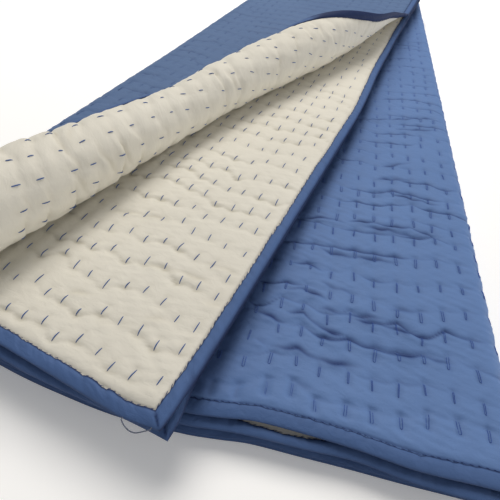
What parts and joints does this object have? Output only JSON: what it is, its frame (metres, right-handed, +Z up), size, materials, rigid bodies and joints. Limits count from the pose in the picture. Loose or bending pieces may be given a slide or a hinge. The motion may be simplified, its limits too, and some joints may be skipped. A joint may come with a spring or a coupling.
{
  "type": "kantha quilt",
  "caption": "Folded cotton kantha quilt, blue on one face and cream on the other, bound all round, with one bound edge turned back in a soft roll.",
  "frame": {"origin": "on the surface it rests on, at the middle of the lowest leaf: halfway along its length, and 217 mm in from its right-hand fold", "axes": "+Z up, +Y along the stitch rows of the lower leaves, away from the open hems and towards the end-to-end fold, +X towards the right-hand fold"},
  "size_m": [0.6109, 1.206, 0.1526],
  "materials": {
    "blue_cotton": "soft cotton with a faint sheen",
    "cream_cotton": "soft matt cotton",
    "binding_cotton": "soft cotton with a faint sheen",
    "sewing_thread": "twisted cotton thread"
  },
  "bodies": {
    "root": {"blue_face": "blue_cotton", "cream_face": "cream_cotton", "edge_binding": "binding_cotton", "loose_thread": "sewing_thread"}
  },
  "joints": []
}
